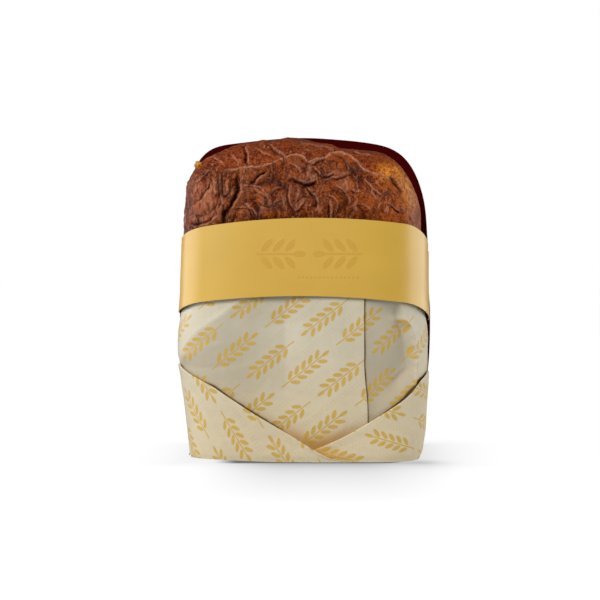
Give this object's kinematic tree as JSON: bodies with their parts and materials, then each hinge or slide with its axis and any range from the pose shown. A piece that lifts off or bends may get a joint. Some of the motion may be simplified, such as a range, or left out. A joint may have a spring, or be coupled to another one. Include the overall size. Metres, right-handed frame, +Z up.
{
  "type": "sweet loaf in a paper wrapper",
  "caption": "Tall sweet loaf with a wrinkled dark crust, standing on its end in a folded paper wrapper, with a card band across the front and a rounded card behind it.",
  "frame": {"origin": "centre of the base, at the bottom centre of the bounding box", "axes": "+Z up, the front with the band faces -Y, and +X is to the right as seen from the front"},
  "size_m": [0.17, 0.1222, 0.2088],
  "materials": {
    "crust": "satin",
    "paper": "matte",
    "card": "satin"
  },
  "bodies": {
    "root": {"loaf": "crust", "wrapper": "paper", "sleeve": "card"}
  },
  "joints": []
}
